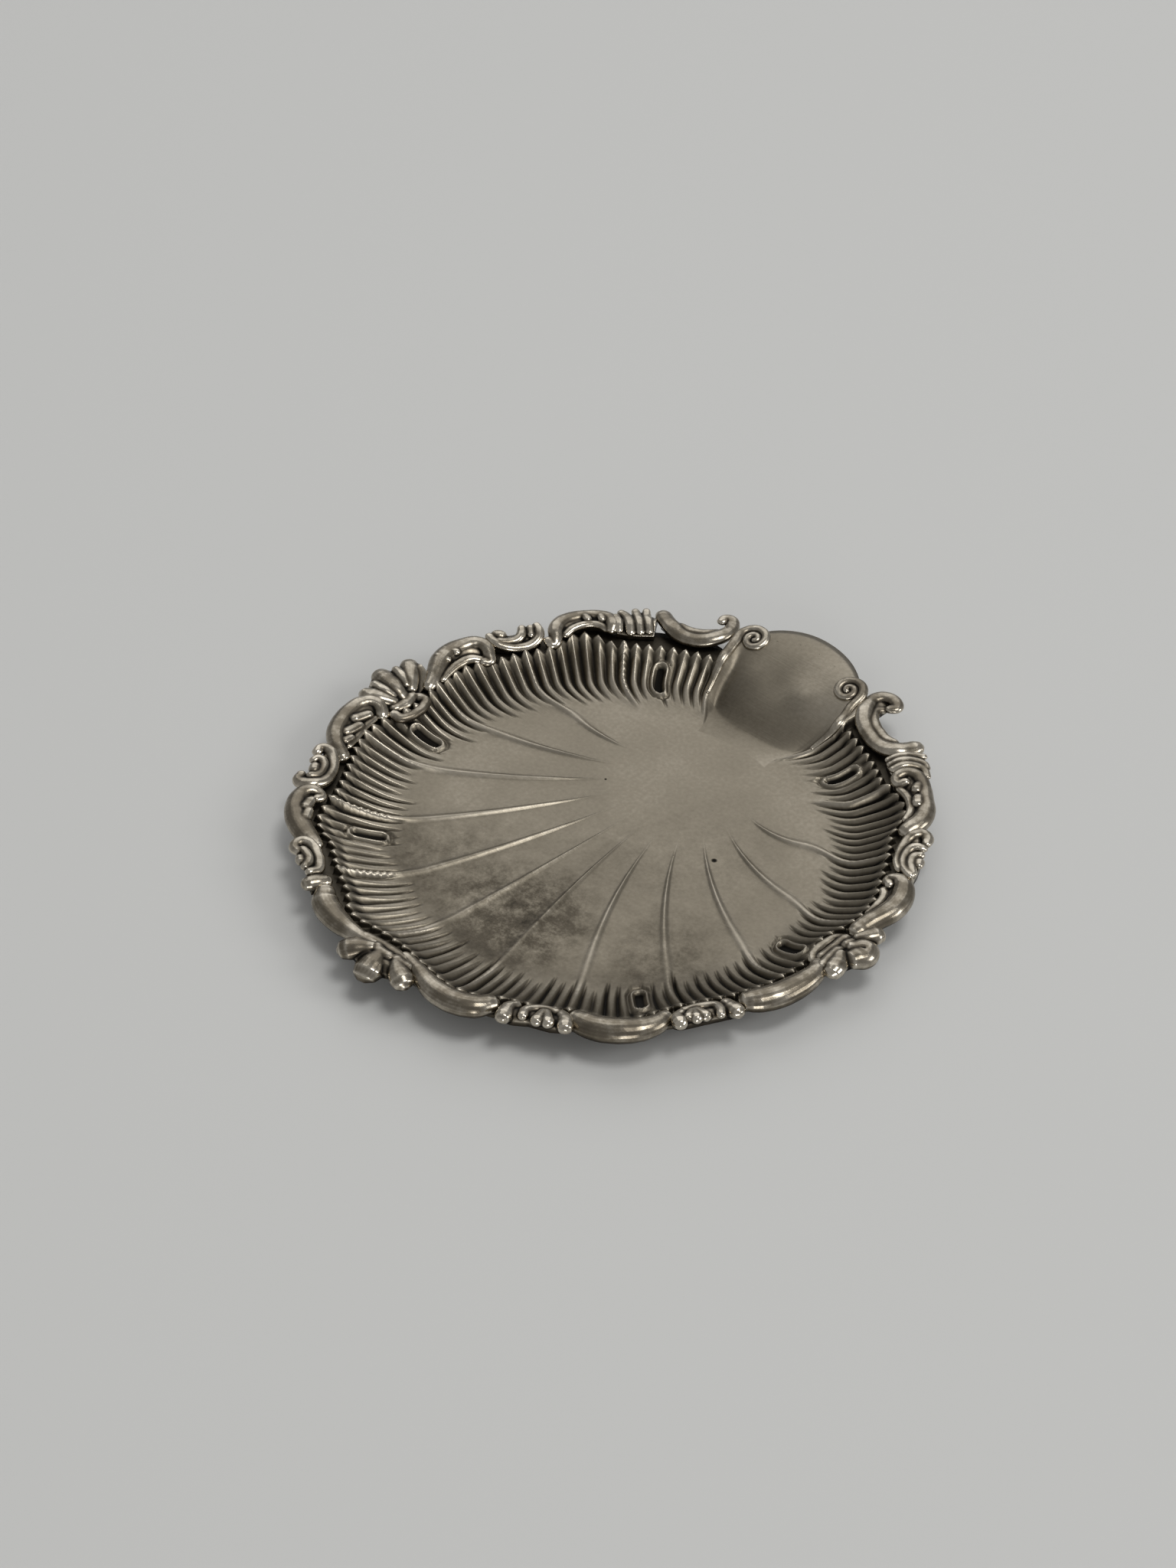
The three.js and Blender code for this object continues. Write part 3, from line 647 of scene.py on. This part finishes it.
castings["left_side_shell"] = {
    "flat": 0.72, "drop": 1.8,
    "web": [(82, 9, 17), (84, 6.6, 19), (87, 4.6, 20), (90, 4.4, 22.4), (93, 4.6, 19.4),
            (96.4, 6, 17.6)],
    "bands": [
        [(87.6, 8.0, 2.0), (85.9, 11.6, 2.8), (84.4, 14.8, 3.2), (83.6, 16.8, 3.0)],
        [(90.6, 7.4, 2.2), (90.0, 12.4, 3.2), (89.4, 17.0, 3.6), (89.0, 19.8, 3.3)],
        [(93.2, 7.8, 1.9), (94.2, 11.6, 2.7), (94.8, 14.6, 3.0), (95.0, 16.2, 2.7)],
        [(92.2, 9.0, 1.2), (92.5, 13.0, 1.4), (92.2, 17.2, 1.3)],
        [(88.0, 9.6, 1.1), (87.0, 13.8, 1.3), (86.4, 17.6, 1.2)],
        [(89.0, 5.4, 2.0), (91.5, 4.8, 2.4), (94.0, 5.4, 1.9)],
        [(87.9, 3.4, 1.5), (87.7, 0.9, 1.5), (89.3, -0.9, 1.5), (91.6, -1.5, 1.5), (94.1, -0.9, 1.5),
         (95.6, 1.0, 1.6), (95.7, 3.6, 1.5)],
    ],
}
castings["left_third_scroll"] = {
    "flat": 0.72, "drop": 2.0,
    "web": [(96.6, 9, 13), (98.5, 8, 16), (101, 7.6, 17), (105, 7.4, 16.6), (108.5, 7.6, 15),
            (111.6, 8, 11.5)],
    "bands": [
        [(97.5, 6.4, 1.9), (96.4, 8.6, 2.0), (96.2, 11.8, 2.2), (97.6, 14.6, 2.7), (100.6, 15.8, 2.9),
         (104.4, 15.4, 3.0), (107.8, 13.9, 2.8), (110.2, 11.6, 2.4), (111.8, 9.2, 2.1),
         (112.7, 7.6, 2.3)],
        [(99.8, 9.4, 1.3), (102.6, 11.6, 1.7)],
        [(103.6, 9.0, 1.4), (106.8, 10.8, 1.6)],
        [(107.6, 8.4, 1.0), (109.2, 9.4, 1.2)],
    ],
    "lips": [[(99.6, 7.4, 1.0), (102.6, 7.8, 1.1), (106.0, 7.6, 1.1), (109.4, 7.8, 1.0)]],
}
castings["left_second_wave"] = {
    "flat": 0.75, "drop": 2.0,
    "web": [(113, 10.5, 13.5), (115, 8.8, 13.6), (118, 8, 13), (121, 8.4, 13.8), (123.2, 10.5, 15.5)],
    "bands": [
        [(121.2, 17.0, 1.2), (122.5, 17.2, 1.7), (123.3, 15.3, 1.9), (123.1, 12.2, 1.8),
         (121.8, 9.5, 1.8), (119.4, 8.2, 1.7), (116.6, 8.4, 1.7), (114.3, 9.9, 1.7),
         (113.0, 12.2, 1.6), (113.1, 14.6, 1.5), (114.4, 15.4, 1.2)],
        [(121.4, 13.6, 1.1), (120.8, 11.7, 1.3), (118.8, 10.8, 1.3), (117.0, 11.5, 1.3),
         (116.3, 13.4, 1.2), (117.0, 14.9, 1.0)],
        [(119.5, 13.3, 1.5), (118.7, 13.5, 1.4)],
    ],
}
castings["left_fourth_scroll"] = {
    "flat": 0.68, "drop": 1.9,
    "web": [(125, 10, 14.5), (127, 9.6, 16), (130, 11, 17), (134, 10.4, 16), (137, 9, 14),
            (140, 8.8, 10.6)],
    "bands": [
        [(127.3, 9.7, 1.2), (126.3, 8.5, 1.5), (125.3, 10.0, 1.7), (125.1, 12.6, 2.0),
         (126.3, 15.0, 2.6), (128.8, 16.1, 3.1), (131.8, 15.6, 3.4), (135.0, 13.9, 3.5),
         (138.0, 11.5, 3.1), (140.2, 9.6, 2.3)],
        [(128.2, 11.4, 1.4), (130.2, 12.6, 1.7)],
        [(131.2, 11.6, 1.3), (133.2, 12.4, 1.5)],
    ],
}
castings["left_third_wave"] = {
    "flat": 0.75, "drop": 2.0,
    "web": [(140, 10.8, 14.4), (142, 9.8, 14), (146, 9.4, 14.2), (149, 9.4, 14.6), (152.2, 9.4, 15)],
    "bands": [
        [(142.4, 15.4, 1.2), (141.2, 16.2, 1.5), (140.0, 15.0, 1.7), (139.8, 12.6, 1.7),
         (141.1, 10.4, 1.6), (143.4, 9.5, 1.5), (146.0, 9.5, 1.5), (147.9, 10.8, 1.4),
         (148.5, 13.4, 1.2)],
        [(146.9, 14.4, 1.0), (145.6, 12.9, 1.3), (143.6, 12.9, 1.3), (142.3, 13.8, 1.1)],
        [(145.2, 15.2, 1.2), (144.4, 15.2, 1.1)],
        [(150.9, 9.8, 2.2), (150.8, 12.4, 2.4), (150.9, 14.8, 2.3)],
    ],
}
castings["left_fifth_scroll"] = {
    "flat": 0.74, "drop": 1.6,
    "web": [(153.4, 9.8, 13), (156, 9.4, 15), (159, 9.6, 15.4), (163, 10, 14.2), (167, 9.6, 12),
            (170.5, 8.8, 10)],
    "bands": [
        [(153.9, 11.2, 3.0), (155.6, 12.3, 3.9), (158.6, 12.8, 4.0), (162.0, 12.5, 3.5),
         (165.4, 11.5, 2.7), (168.6, 10.3, 2.0), (171.4, 8.9, 1.5)],
    ],
}


def strokeCurve(name, strokes):
    # tapered round strokes with blunt ends; each stroke is a list of (point, girth)
    curve = bpy.data.curves.new(name, "CURVE")
    curve.dimensions = "3D"
    curve.bevel_depth = 1
    curve.bevel_resolution = 9
    curve.resolution_u = 10
    curve.use_fill_caps = True
    for stroke in strokes:
        caps = []
        for (point, girth), (inner, _) in ((stroke[0], stroke[1]), (stroke[-1], stroke[-2])):
            outward = (point - inner).normalized() * girth
            caps.append([(point + outward * 0.6, girth * 0.8), (point + outward * 0.95, girth * 0.3)])
        stroke = [*reversed(caps[0]), *stroke, *caps[1]]
        spline = curve.splines.new("BEZIER")
        spline.bezier_points.add(len(stroke) - 1)
        for knot, (point, girth) in zip(spline.bezier_points, stroke):
            knot.co = point
            knot.radius = girth
            knot.handle_left_type = knot.handle_right_type = "AUTO"
    return finalMesh(newObject(name, curve))


def fuse(name, bm, finish, seat):
    # one skin over all the strokes, softened, flattened, a little uneven and seated
    item = newObject(name, newMesh(name, bm))
    remesh = item.modifiers.new("skin", "REMESH")
    remesh.mode = "VOXEL"
    remesh.voxel_size = finish["voxel"]
    soften = item.modifiers.new("soften", "SMOOTH")
    soften.factor = 0.5
    soften.iterations = finish["smoothing"]
    mesh = finalMesh(item)
    mesh.transform(Matrix.Scale(finish["flat"], 4, (0, 0, 1)))
    points, normals = readVectors(mesh, "co"), readVectors(mesh, "normal")
    swell = np.array([noise.noise(p) for p in points / finish["unevenPitch"]])
    points += normals * (finish["uneven"] * swell)[:, None]
    if seat is not None:
        points[:, 2] = np.maximum(points[:, 2], seat)
    mesh.vertices.foreach_set("co", points.astype(np.float32).ravel())
    mesh.update()
    tarnish = cavities(mesh, finish["cavityReach"])
    if seat is not None:  # darker towards the foot, where the casting meets the flange
        tarnish += finish["footGrime"] * np.clip(1 - (points[:, 2] - seat) / finish["footRise"], 0, 1)
    writeTarnishAndPaintedLight(mesh, tarnish)
    return mesh


def cavities(mesh, reach):
    # how far each point lies below the softened shape round it
    points, normals = readVectors(mesh, "co"), readVectors(mesh, "normal")
    ends = np.zeros(len(mesh.edges) * 2, np.int32)
    mesh.edges.foreach_get("vertices", ends)
    ends = ends.reshape(-1, 2)
    count = np.bincount(ends.ravel(), minlength=len(points)).astype(float)
    soft = points.copy()
    for _ in range(reach):
        pulled = np.stack([
            np.bincount(ends[:, 0], soft[ends[:, 1], k], len(points))
            + np.bincount(ends[:, 1], soft[ends[:, 0], k], len(points)) for k in range(3)
        ], axis=1)
        soft = 0.5 * soft + 0.5 * pulled / np.maximum(count, 1)[:, None]
    depth = ((soft - points) * normals).sum(axis=1)
    hollow, crown = 0.26, 0.5  # depth that is fully dark, height that is fully worn
    return np.clip(0.25 + np.where(depth > 0, depth / hollow, depth / crown), 0, 1)


def buildCasting(name, material):
    c = castings[name]
    flat, shift = c["flat"], crestShift[name.split("_")[0]]
    side = -1 if name.startswith("left") else 1

    def topAt(out):
        return along(crest, out - shift)

    def place(degrees, out, height):
        return around(borderBase + out, side * degrees, height / flat)

    strokes = []
    for group, sunk in (("bands", 0), ("lips", c.get("lipDrop", 0.8))):
        for stroke in c.get(group, []):
            girths = [g + c.get("spread", castingFinish["spread"]) for _, _, g in stroke]
            points = [place(a, n, topAt(n) - sunk - flat * g) for (a, n, _), g in zip(stroke, girths)]
            strokes.append(list(zip(points, girths)))
    bm = bmesh.new()
    bm.from_mesh(strokeCurve(name, strokes))
    web = bmesh.ops.create_grid(bm, x_segments=28, y_segments=10, size=0.5)["verts"]
    inner = [(a, low) for a, low, _ in c["web"]]
    outer = [(a, high) for a, _, high in c["web"]]
    for vert in web:
        degrees, v = mix(inner[0][0], inner[-1][0], vert.co.x + 0.5), vert.co.y + 0.5
        out = mix(along(inner, degrees), along(outer, degrees), v)
        dome = math.sin(math.pi * mix(0.05, 0.95, v)) ** 0.5
        top = topAt(out) - castingFinish["webDrop"] * c["drop"]
        vert.co = place(degrees, out, mix(seatHeight + castingFinish["webFoot"], top, dome))
    faces = list({f for vert in web for f in vert.link_faces})
    skirt = bmesh.ops.extrude_face_region(bm, geom=faces)["geom"]
    for vert in [g for g in skirt if isinstance(g, bmesh.types.BMVert)]:
        vert.co.z = (seatHeight - castingFinish["skirtDrop"]) / flat
    bmesh.ops.recalc_face_normals(bm, faces=bm.faces)
    mesh = fuse(name, bm, dict(castingFinish, flat=flat), seatHeight)
    pieceName = name.title().replace("_", "")
    return placePiece(pieceName[0].lower() + pieceName[1:], mesh, material, name)


# volutes beside the tab: a strap climbs the tab's side and winds into the eye
tabScroll = {
    "right": (10.6, 103.0), "left": (13.0, 104.6),  # degrees and radius of the eye
    "strapFoot": 80, "strapAngle": 16.9, "strapGirth": (0.9, 1.9), "strapSteps": 6,
    "start": 5.5, "eye": 0.7, "turns": 1.6, "girth": 1.6, "steps": 34,
    "voxel": 0.2, "flat": 0.7, "smoothing": 4, "cavityReach": 30, "uneven": 0.05, "unevenPitch": 2.2,
}


def buildTabScroll(name, material):
    t = tabScroll
    hand = name.split("_")[0]
    side = 1 if hand == "right" else -1
    eyeAngle, eyeRadius = t[hand]
    centre = around(eyeRadius, eyeAngle)

    def laid(spot, girth):
        degrees = math.degrees(math.atan2(spot.x, spot.y))
        height = tabSurface(spot.length, side * degrees)
        return Vector((spot.x * side, spot.y, height / t["flat"])), girth

    band = []
    turnAngle = math.degrees(t["start"] / eyeRadius)
    for i in range(t["strapSteps"]):
        share = i / t["strapSteps"]
        radius = mix(t["strapFoot"], eyeRadius, share)
        degrees = mix(t["strapAngle"], eyeAngle + turnAngle, ease(0.3, 1.0, share))
        band.append(laid(around(radius, degrees), mix(*t["strapGirth"], ease(0, 0.6, share))))
    for i in range(t["steps"] + 1):
        share = i / t["steps"]
        turn = 2 * math.pi * t["turns"] * share
        reach = mix(t["start"], t["eye"], share ** 0.9)
        spot = centre + Vector((reach * math.cos(turn), reach * math.sin(turn), 0))
        band.append(laid(spot, t["girth"] * mix(1.1, 0.8, share)))
    bm = bmesh.new()
    bm.from_mesh(strokeCurve(name, [band]))
    mesh = fuse(name, bm, t, None)
    return placePiece(hand + "TabScroll", mesh, material, name)


# finishes
# the lighter and darker ends of this ramp also colour the painted highlights and painted shade of the dish
# body
wellLook = {
    "name": "wellSilver", "worn": (0.4, 0.36, 0.295), "clean": (0.222, 0.196, 0.152),
    "dull": (0.098, 0.084, 0.063), "dark": (0.01, 0.009, 0.0075),
    "cleanAt": 0.2, "dullAt": 0.43, "darkAt": 0.8, "smooth": 0.3, "rough": 0.6,
    "blotch": 26, "blotchAmount": 0.2, "grain": 700, "grainAmount": 0.12, "bump": 0.25, "speckle": 150,
    # x, y, reach and strength of speckled stains, then x, y and reach of small pits
    "stains": [(0.004, -0.05, 0.03, 0.46), (-0.036, -0.046, 0.03, 0.16), (0.05, -0.034, 0.026, 0.24),
               (-0.012, -0.034, 0.06, 0.1), (0.03, 0.01, 0.04, 0.1)],
    "pits": [(0.0325, 0.0131, 0.0009), (-0.0215, 0.0205, 0.0004), (0.021, 0.006, 0.0003)],
}
borderLook = {
    "name": "borderSilver", "worn": (0.56, 0.51, 0.425), "clean": (0.185, 0.16, 0.122),
    "dull": (0.074, 0.062, 0.046), "dark": (0.01, 0.009, 0.0075),
    "cleanAt": 0.2, "dullAt": 0.4, "darkAt": 0.7, "smooth": 0.14, "rough": 0.7,
    "blotch": 120, "blotchAmount": 0.42, "grain": 900, "grainAmount": 0.12, "bump": 0.15,
    "stains": [], "pits": [],
}
scrollLook = dict(borderLook, name="scrollSilver", smooth=0.2)
scratchDepth, scratchTurns = 0.00008, (0.6, -0.9)  # metres, and radians of the two ways of rubbing


def tarnishedSilver(look):
    material = bpy.data.materials.new(look["name"])
    material.use_nodes = True
    tree = material.node_tree
    shader = tree.nodes["Principled BSDF"]
    shader.inputs["Metallic"].default_value = 1.0
    place = tree.nodes.new("ShaderNodeTexCoord").outputs["Object"]

    def cloud(scale, detail, stretch=None, roughness=0.5):
        node = tree.nodes.new("ShaderNodeTexNoise")
        node.inputs["Scale"].default_value = scale
        node.inputs["Detail"].default_value = detail
        node.inputs["Roughness"].default_value = roughness
        source = place
        if stretch:
            turn = tree.nodes.new("ShaderNodeMapping")
            turn.inputs["Rotation"].default_value = (0, 0, stretch[0])
            turn.inputs["Scale"].default_value = stretch[1]
            tree.links.new(source, turn.inputs["Vector"])
            source = turn.outputs["Vector"]
        tree.links.new(source, node.inputs["Vector"])
        return node.outputs["Fac"]

    def sums(operation, first, second):
        node = tree.nodes.new("ShaderNodeMath")
        node.operation = operation
        for socket, value in zip(node.inputs, (first, second)):
            if isinstance(value, (int, float)):
                socket.default_value = value
            else:
                tree.links.new(value, socket)
        return node.outputs[0]

    def mapped(value, low, high, first, last):
        node = tree.nodes.new("ShaderNodeMapRange")
        tree.links.new(value, node.inputs["Value"])
        for name, setting in (("From Min", low), ("From Max", high), ("To Min", first), ("To Max", last)):
            node.inputs[name].default_value = setting
        return node.outputs["Result"]

    def spot(x, y, reach, strength):
        node = tree.nodes.new("ShaderNodeVectorMath")
        node.operation = "DISTANCE"
        tree.links.new(place, node.inputs[0])
        node.inputs[1].default_value = (x, y, dishBody["sheet"] * mm)
        return mapped(node.outputs["Value"], 0.3 * reach, reach, strength, 0.0)

    age = tree.nodes.new("ShaderNodeAttribute")
    age.attribute_name = "tarnish"
    blotch = sums("MULTIPLY", sums("SUBTRACT", cloud(look["blotch"], 4), 0.5), look["blotchAmount"])
    grain = sums("MULTIPLY", sums("SUBTRACT", cloud(look["grain"], 3), 0.5), look["grainAmount"])
    amount = sums("ADD", sums("ADD", age.outputs["Fac"], blotch), grain)
    if look["stains"]:
        speckle = mapped(cloud(look["speckle"], 9, roughness=0.78), 0.35, 0.7, 0.0, 1.0)
        stain = spot(*look["stains"][0])
        for other in look["stains"][1:]:
            stain = sums("ADD", stain, spot(*other))
        amount = sums("ADD", amount, sums("MULTIPLY", stain, speckle))
    for x, y, reach in look["pits"]:
        amount = sums("ADD", amount, spot(x, y, 1.3 * reach, 0.8))

    ramp = tree.nodes.new("ShaderNodeValToRGB")
    stops = ramp.color_ramp.elements
    stops[0].position, stops[0].color = 0.02, (*look["worn"], 1)
    stops[1].position, stops[1].color = look["darkAt"], (*look["dark"], 1)
    for stage in ("clean", "dull"):
        stops.new(look[stage + "At"]).color = (*look[stage], 1)
    tree.links.new(amount, ramp.inputs["Fac"])
    tree.links.new(ramp.outputs["Color"], shader.inputs["Base Color"])
    tree.links.new(mapped(amount, 0.0, 0.9, look["smooth"], look["rough"]), shader.inputs["Roughness"])

    scratches = sums("ADD", *(cloud(60, 2, (turn, (1, 30, 1))) for turn in scratchTurns))
    bump = tree.nodes.new("ShaderNodeBump")
    bump.inputs["Strength"].default_value = look["bump"]
    bump.inputs["Distance"].default_value = scratchDepth
    tree.links.new(sums("ADD", scratches, cloud(look["grain"], 2)), bump.inputs["Height"])
    tree.links.new(bump.outputs["Normal"], shader.inputs["Normal"])
    return material


wellSilver = tarnishedSilver(wellLook)
borderSilver = tarnishedSilver(borderLook)
scrollSilver = tarnishedSilver(scrollLook)

buildBody(wellSilver)
buildTabScroll("right_tab_scroll", scrollSilver)
buildTabScroll("left_tab_scroll", scrollSilver)
for castingName in borderNames:
    casting = buildCasting(castingName, borderSilver)
    print("casting:", casting.name, len(casting.data.vertices), "points")

# plain table top
tableTop = {"size": 4.0, "colour": (0.56, 0.56, 0.545), "roughness": 0.6}
bm = bmesh.new()
bmesh.ops.create_grid(bm, x_segments=1, y_segments=1, size=tableTop["size"] / 2)
table = newObject("tableTop", newMesh("tableTop", bm))
tableMaterial = bpy.data.materials.new("palePaint")
tableMaterial.use_nodes = True
tableShader = tableMaterial.node_tree.nodes["Principled BSDF"]
tableShader.inputs["Base Color"].default_value = (*tableTop["colour"], 1)
tableShader.inputs["Roughness"].default_value = tableTop["roughness"]
table.data.materials.append(tableMaterial)

# soft studio light
lamps = {
    "backLamp": {"at": (-3.6, 4.2, 4.6), "size": 6.0, "power": 104},
    "topLamp": {"at": (1.05, 0.75, 4.35), "size": 1.6, "power": 58},
    "sideLamp": {"at": (5.4, 3.0, 3.6), "size": 2.8, "power": 125},
    "windowLamp": {"at": (5.2, -5.0, 1.8), "size": 2.4, "power": 120},
}
for lampName, lamp in lamps.items():
    data = bpy.data.lights.new(lampName, "AREA")
    data.energy = lamp["power"]
    data.size = lamp["size"]
    holder = newObject(lampName, data)
    holder.location = lamp["at"]
    holder.rotation_euler = (-Vector(lamp["at"])).to_track_quat("-Z", "Y").to_euler()
world = bpy.data.worlds.new("studio")
bpy.context.scene.world = world
world.use_nodes = True
world.node_tree.nodes["Background"].inputs["Color"].default_value = (0.35, 0.35, 0.35, 1)
world.node_tree.nodes["Background"].inputs["Strength"].default_value = 1.0

camera = {"at": (0.499, -0.576, 0.673), "ahead": (-0.505, 0.570, -0.648), "lens": 70.3125, "sensor": 36}
cameraData = bpy.data.cameras.new("camera")
cameraData.lens = camera["lens"]
cameraData.sensor_width = camera["sensor"]
eye = newObject("camera", cameraData)
eye.location = camera["at"]
eye.rotation_euler = Vector(camera["ahead"]).to_track_quat("-Z", "Y").to_euler()
bpy.context.scene.camera = eye
bpy.context.scene.view_settings.view_transform = "Standard"
